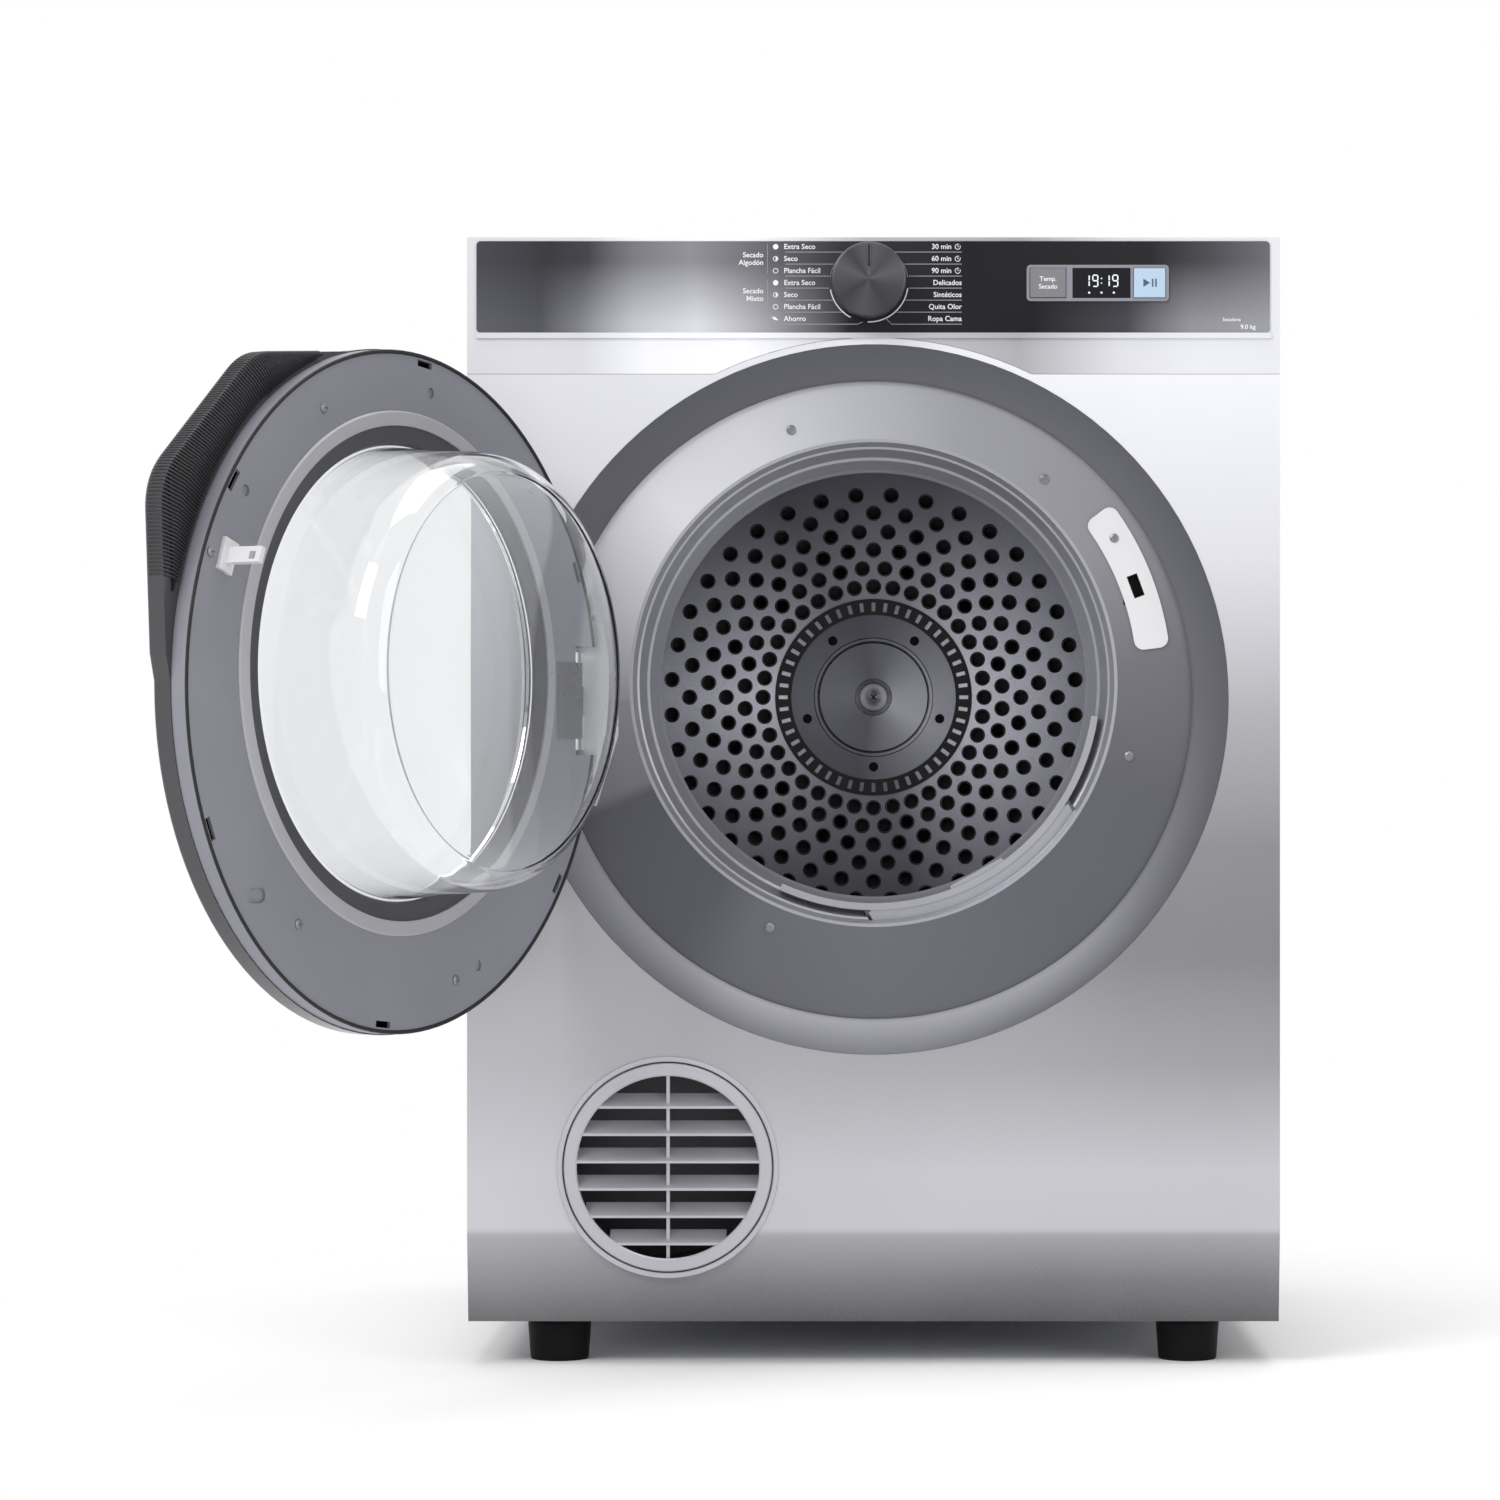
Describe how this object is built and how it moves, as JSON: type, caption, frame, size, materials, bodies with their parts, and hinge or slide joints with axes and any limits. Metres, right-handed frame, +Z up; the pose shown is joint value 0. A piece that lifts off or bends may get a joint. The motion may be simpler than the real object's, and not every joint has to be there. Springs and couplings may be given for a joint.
{
  "type": "clothes dryer",
  "caption": "Front-loading clothes dryer with its round door standing open, showing the drum, lint filter, latch and control panel.",
  "frame": {"origin": "on the floor, mid-width, in the plane of the front panel", "axes": "+X to the right seen from the front, +Y into the machine, +Z up"},
  "size_m": [0.7655, 0.9787, 0.826],
  "materials": {
    "silver_paint": "satin",
    "zinc_steel": "galvanised",
    "drum_steel": "galvanised",
    "black_plastic": "matt",
    "overlay_gloss": "gloss",
    "grey_plastic": "satin",
    "light_plastic": "satin",
    "white_plastic": "gloss",
    "dark_plastic": "satin",
    "blue_plastic": "gloss",
    "clear_plastic": "clear",
    "board_green": "satin",
    "rubber": "matt",
    "felt": "felt",
    "mesh": "fine mesh",
    "cast_grey": "cast",
    "heater_wire": "oxidised",
    "plate_grey": "satin"
  },
  "bodies": {
    "cabinet": {"front_panel": "silver_paint", "side_panel_left": "silver_paint", "side_panel_right": "silver_paint", "rear_panel": "zinc_steel", "base_pan": "zinc_steel", "top_cover": "silver_paint", "feet": "black_plastic", "control_fascia": "silver_paint", "control_overlay": "overlay_gloss", "button_bezel": "dark_plastic", "display_window": "overlay_gloss", "control_board": "board_green", "selector_switch": "black_plastic", "door_ring_trim": "dark_plastic", "opening_collar": "plate_grey", "door_frame_plate": "plate_grey", "front_bulkhead": "zinc_steel", "filter_duct": "dark_plastic", "drum_front_bearing": "felt", "latch_plate": "white_plastic", "latch_housing": "black_plastic", "hinge_bracket": "zinc_steel", "rear_bulkhead": "zinc_steel", "rear_duct": "zinc_steel", "heater_element": "heater_wire", "drive_belt": "rubber", "drive_motor": "cast_grey", "motor_bracket": "zinc_steel", "blower_housing": "dark_plastic", "vent_trim": "silver_paint", "cabinet_screws": "zinc_steel", "terminal_block": "black_plastic"},
    "door": {"door_front_shell": "dark_plastic", "door_handle_grip": "black_plastic", "door_inner_plate": "grey_plastic", "door_edge_bead": "rubber", "door_front_glass": "clear_plastic", "door_trim_ring": "light_plastic", "bowl_retainer": "light_plastic", "bowl_clamp_ring": "dark_plastic", "door_bowl": "clear_plastic", "door_strike": "white_plastic", "hinge_leaf": "zinc_steel", "door_screws": "zinc_steel"},
    "knob": {"programme_knob": "grey_plastic"},
    "temp_button": {"temp_button": "dark_plastic"},
    "start_button": {"start_button": "blue_plastic"},
    "lint_filter": {"filter_frame": "plate_grey", "filter_mesh": "mesh"},
    "drum": {"drum_shell": "drum_steel", "drum_back": "drum_steel", "drum_hub": "drum_steel", "hub_grille": "black_plastic", "drum_lifters": "grey_plastic", "drum_shaft": "cast_grey"},
    "motor_rotor": {"motor_shaft": "cast_grey", "blower_wheel": "dark_plastic"},
    "idler_arm": {"idler_arm": "zinc_steel"},
    "idler_wheel": {"idler_wheel": "dark_plastic"},
    "vent_insert": {"vent_insert": "silver_paint"}
  },
  "joints": [
    {"name": "door_hinge", "type": "hinge", "parent": "cabinet", "child": "door", "pos_m": [-0.221, -0.005, 0.4877], "axis": [0, 0, -1], "range_deg": [-120.6, 9.4]},
    {"name": "knob_turn", "type": "hinge", "parent": "cabinet", "child": "knob", "pos_m": [-0.0033, 0, 0.7925], "axis": [0, 1, 0], "continuous": true},
    {"name": "temp_button_press", "type": "slide", "parent": "cabinet", "child": "temp_button", "axis": [0, 1, 0], "range_m": [0, 0.0015], "stiffness_N_per_m": 600, "springref_m": -0.001},
    {"name": "start_button_press", "type": "slide", "parent": "cabinet", "child": "start_button", "axis": [0, 1, 0], "range_m": [0, 0.0015], "stiffness_N_per_m": 600, "springref_m": -0.001},
    {"name": "filter_slide", "type": "slide", "parent": "cabinet", "child": "lint_filter", "axis": [-0.4772, 0, 0.8788], "range_m": [0, 0.11]},
    {"name": "drum_spin", "type": "hinge", "parent": "cabinet", "child": "drum", "pos_m": [0, 0.3, 0.5005], "axis": [0, 1, 0], "continuous": true},
    {"name": "motor_spin", "type": "hinge", "parent": "cabinet", "child": "motor_rotor", "pos_m": [0.175, 0.25, 0.12], "axis": [0, 1, 0], "continuous": true},
    {"name": "idler_swing", "type": "hinge", "parent": "cabinet", "child": "idler_arm", "pos_m": [0.115, 0.398, 0.075], "axis": [0, -1, 0], "range_deg": [0, 12], "stiffness_Nm_per_rad": 2, "springref_deg": -17.19},
    {"name": "idler_spin", "type": "hinge", "parent": "idler_arm", "child": "idler_wheel", "pos_m": [0.08715, 0.385, 0.12828], "axis": [0, 1, 0], "continuous": true},
    {"name": "vent_turn", "type": "hinge", "parent": "cabinet", "child": "vent_insert", "pos_m": [-0.1505, 0, 0.1453], "axis": [0, 1, 0], "continuous": true}
  ],
  "couplings": [
    {"joint": "motor_spin", "follows": "drum_spin", "ratio": 20.489},
    {"joint": "idler_spin", "follows": "drum_spin", "ratio": -14.119}
  ]
}
